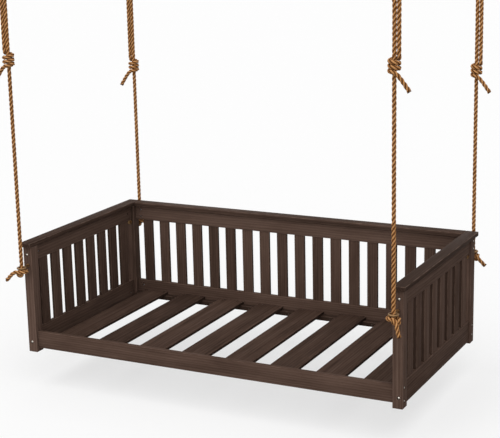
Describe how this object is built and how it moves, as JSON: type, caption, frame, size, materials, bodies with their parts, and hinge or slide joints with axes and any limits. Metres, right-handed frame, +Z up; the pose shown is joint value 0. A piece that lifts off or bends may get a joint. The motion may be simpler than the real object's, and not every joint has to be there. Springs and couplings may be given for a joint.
{
  "type": "hanging swing bed",
  "caption": "Slatted daybed with railed ends and back that hangs level from a ceiling on knotted ropes and swings front to back.",
  "frame": {"origin": "centre of the rectangle of ceiling screws, on the ceiling plane", "axes": "+X along the bed to the right as seen from its open front, +Y towards the bed's back, +Z up into the ceiling"},
  "size_m": [2.1454, 1.239, 2.13],
  "materials": {
    "frame_wood": "satin dark brown stain",
    "slat_wood": "satin dark brown stain",
    "plain_wood": "raw beech",
    "rope": "laid three-strand rope",
    "zinc_plate": "bright zinc plate",
    "galvanised_steel": "dull galvanised"
  },
  "bodies": {
    "hangers": {"screw_eye_fl": "galvanised_steel", "screw_eye_fr": "galvanised_steel", "screw_eye_bl": "galvanised_steel", "screw_eye_br": "galvanised_steel"},
    "line_fl": {"thimble_fl": "zinc_plate", "rope_fl": "rope", "upper_knot_fl": "rope"},
    "line_fr": {"thimble_fr": "zinc_plate", "rope_fr": "rope", "upper_knot_fr": "rope"},
    "line_bl": {"thimble_bl": "zinc_plate", "rope_bl": "rope", "upper_knot_bl": "rope"},
    "line_br": {"thimble_br": "zinc_plate", "rope_br": "rope", "upper_knot_br": "rope"},
    "bed": {"lower_knot_fl": "rope", "lower_knot_fr": "rope", "lower_knot_bl": "rope", "lower_knot_br": "rope", "eye_bolt_fl": "zinc_plate", "eye_bolt_fr": "zinc_plate", "eye_bolt_bl": "zinc_plate", "eye_bolt_br": "zinc_plate", "eye_bolt_washers": "zinc_plate", "eye_bolt_nuts": "zinc_plate", "post_fl": "frame_wood", "post_fr": "frame_wood", "post_bl": "frame_wood", "post_br": "frame_wood", "left_cap": "frame_wood", "right_cap": "frame_wood", "back_cap": "frame_wood", "left_upper_rail": "frame_wood", "left_lower_rail": "frame_wood", "left_slats": "slat_wood", "right_upper_rail": "frame_wood", "right_lower_rail": "frame_wood", "right_slats": "slat_wood", "back_upper_rail": "frame_wood", "back_lower_rail": "frame_wood", "back_slats_group": "slat_wood", "front_rail": "frame_wood", "front_ledger": "frame_wood", "back_ledger": "frame_wood", "bed_slat_1": "slat_wood", "bed_slat_2": "slat_wood", "bed_slat_3": "slat_wood", "bed_slat_4": "slat_wood", "bed_slat_5": "slat_wood", "bed_slat_6": "slat_wood", "bed_slat_7": "slat_wood", "bed_slat_8": "slat_wood", "face_bolts": "zinc_plate", "side_bolts": "zinc_plate", "barrel_nuts": "zinc_plate", "slat_screws": "galvanised_steel", "ledger_screws": "galvanised_steel", "cap_dowels": "plain_wood"}
  },
  "joints": [
    {"name": "swing_fl", "type": "hinge", "parent": "hangers", "child": "line_fl", "pos_m": [-0.99, -0.575, -0.049], "axis": [1, 0, 0], "range_deg": [-12, 12]},
    {"name": "swing_fr", "type": "hinge", "parent": "hangers", "child": "line_fr", "pos_m": [0.99, -0.575, -0.049], "axis": [1, 0, 0], "range_deg": [-12, 12]},
    {"name": "swing_bl", "type": "hinge", "parent": "hangers", "child": "line_bl", "pos_m": [-0.99, 0.575, -0.049], "axis": [1, 0, 0], "range_deg": [-12, 12]},
    {"name": "swing_br", "type": "hinge", "parent": "hangers", "child": "line_br", "pos_m": [0.99, 0.575, -0.049], "axis": [1, 0, 0], "range_deg": [-12, 12]},
    {"name": "bed_level", "type": "hinge", "parent": "line_fl", "child": "bed", "pos_m": [-0.99, -0.575, -1.59], "axis": [1, 0, 0], "range_deg": [-12, 12]}
  ],
  "couplings": [
    {"joint": "swing_fr", "follows": "swing_fl", "ratio": 1},
    {"joint": "swing_bl", "follows": "swing_fl", "ratio": 1},
    {"joint": "swing_br", "follows": "swing_fl", "ratio": 1},
    {"joint": "bed_level", "follows": "swing_fl", "ratio": -1}
  ]
}
